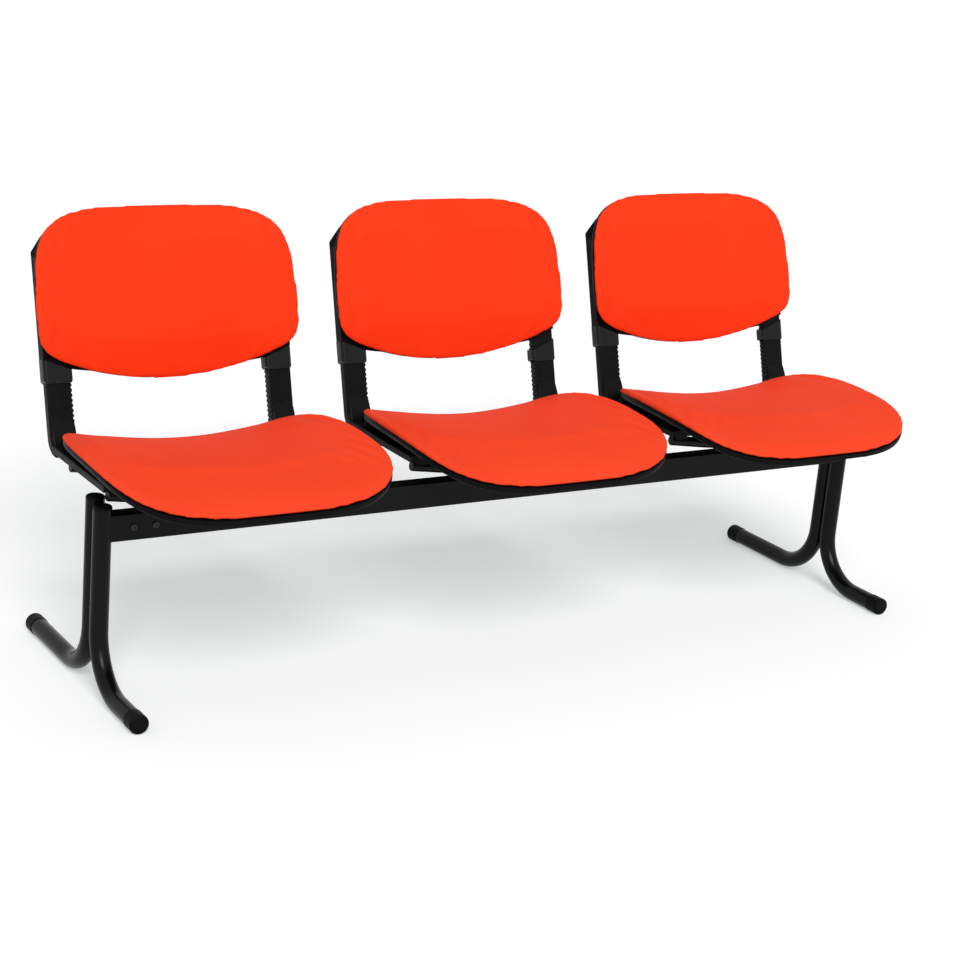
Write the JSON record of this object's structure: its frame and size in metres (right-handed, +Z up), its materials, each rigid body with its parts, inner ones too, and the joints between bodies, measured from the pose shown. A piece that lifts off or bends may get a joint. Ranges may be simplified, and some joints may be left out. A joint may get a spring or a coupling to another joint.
{
  "type": "beam seating",
  "caption": "Waiting-room beam seat: separate upholstered seats and backs on toothed arms, carried by one beam on bent tube legs.",
  "frame": {"origin": "on the floor, midway between the two legs and midway front to rear", "axes": "+X along the beam towards the right-hand leg as a sitter would call it from the front view, +Y towards the rear, +Z up"},
  "size_m": [1.7077, 0.5735, 0.781],
  "materials": {
    "powder_coat": "semi-gloss black powder coat",
    "black_plastic": "black moulded plastic, fine grain",
    "arm_plastic": "black glass-filled plastic, satin",
    "sleeve_plastic": "black moulded plastic, satin",
    "bolt_steel": "blackened steel",
    "seat_upholstery": "smooth orange-red upholstery",
    "back_upholstery": "smooth orange-red upholstery"
  },
  "bodies": {
    "frame": {"beam": "powder_coat", "leg_front_left": "powder_coat", "leg_rear_left": "powder_coat", "leg_front_left_cap": "black_plastic", "leg_rear_left_cap": "black_plastic", "foot_front_left": "black_plastic", "foot_rear_left": "black_plastic", "spigot_left": "powder_coat", "beam_bolts_left": "bolt_steel", "leg_front_right": "powder_coat", "leg_rear_right": "powder_coat", "leg_front_right_cap": "black_plastic", "leg_rear_right_cap": "black_plastic", "foot_front_right": "black_plastic", "foot_rear_right": "black_plastic", "spigot_right": "powder_coat", "beam_bolts_right": "bolt_steel", "seat1_outrigger": "powder_coat", "seat1_rod_front": "powder_coat", "seat1_rod_rear": "powder_coat", "seat1_shell": "black_plastic", "seat1_cushion": "seat_upholstery", "seat1_arm_left": "arm_plastic", "seat1_arm_right": "arm_plastic", "seat2_outrigger": "powder_coat", "seat2_rod_front": "powder_coat", "seat2_rod_rear": "powder_coat", "seat2_shell": "black_plastic", "seat2_cushion": "seat_upholstery", "seat2_arm_left": "arm_plastic", "seat2_arm_right": "arm_plastic", "seat3_outrigger": "powder_coat", "seat3_rod_front": "powder_coat", "seat3_rod_rear": "powder_coat", "seat3_shell": "black_plastic", "seat3_cushion": "seat_upholstery", "seat3_arm_left": "arm_plastic", "seat3_arm_right": "arm_plastic"},
    "back_1": {"seat1_back_shell": "black_plastic", "seat1_back_cushion": "back_upholstery"},
    "sleeve_1_left": {"seat1_sleeve_left": "sleeve_plastic"},
    "sleeve_1_right": {"seat1_sleeve_right": "sleeve_plastic"},
    "back_2": {"seat2_back_shell": "black_plastic", "seat2_back_cushion": "back_upholstery"},
    "sleeve_2_left": {"seat2_sleeve_left": "sleeve_plastic"},
    "sleeve_2_right": {"seat2_sleeve_right": "sleeve_plastic"},
    "back_3": {"seat3_back_shell": "black_plastic", "seat3_back_cushion": "back_upholstery"},
    "sleeve_3_left": {"seat3_sleeve_left": "sleeve_plastic"},
    "sleeve_3_right": {"seat3_sleeve_right": "sleeve_plastic"}
  },
  "joints": [
    {"name": "back_1_slide", "type": "slide", "parent": "frame", "child": "back_1", "axis": [0, 0.2924, 0.9563], "range_m": [0, 0.04]},
    {"name": "back_2_slide", "type": "slide", "parent": "frame", "child": "back_2", "axis": [0, 0.2924, 0.9563], "range_m": [0, 0.04]},
    {"name": "back_3_slide", "type": "slide", "parent": "frame", "child": "back_3", "axis": [0, 0.2924, 0.9563], "range_m": [0, 0.04]},
    {"name": "sleeve_1_left_slide", "type": "slide", "parent": "frame", "child": "sleeve_1_left", "axis": [0, 0.2924, 0.9563], "range_m": [-0.045, 0]},
    {"name": "sleeve_1_right_slide", "type": "slide", "parent": "frame", "child": "sleeve_1_right", "axis": [0, 0.2924, 0.9563], "range_m": [-0.045, 0]},
    {"name": "sleeve_2_left_slide", "type": "slide", "parent": "frame", "child": "sleeve_2_left", "axis": [0, 0.2924, 0.9563], "range_m": [-0.045, 0]},
    {"name": "sleeve_2_right_slide", "type": "slide", "parent": "frame", "child": "sleeve_2_right", "axis": [0, 0.2924, 0.9563], "range_m": [-0.025, 0.02]},
    {"name": "sleeve_3_left_slide", "type": "slide", "parent": "frame", "child": "sleeve_3_left", "axis": [0, 0.2924, 0.9563], "range_m": [-0.045, 0]},
    {"name": "sleeve_3_right_slide", "type": "slide", "parent": "frame", "child": "sleeve_3_right", "axis": [0, 0.2924, 0.9563], "range_m": [-0.035, 0.01]}
  ]
}
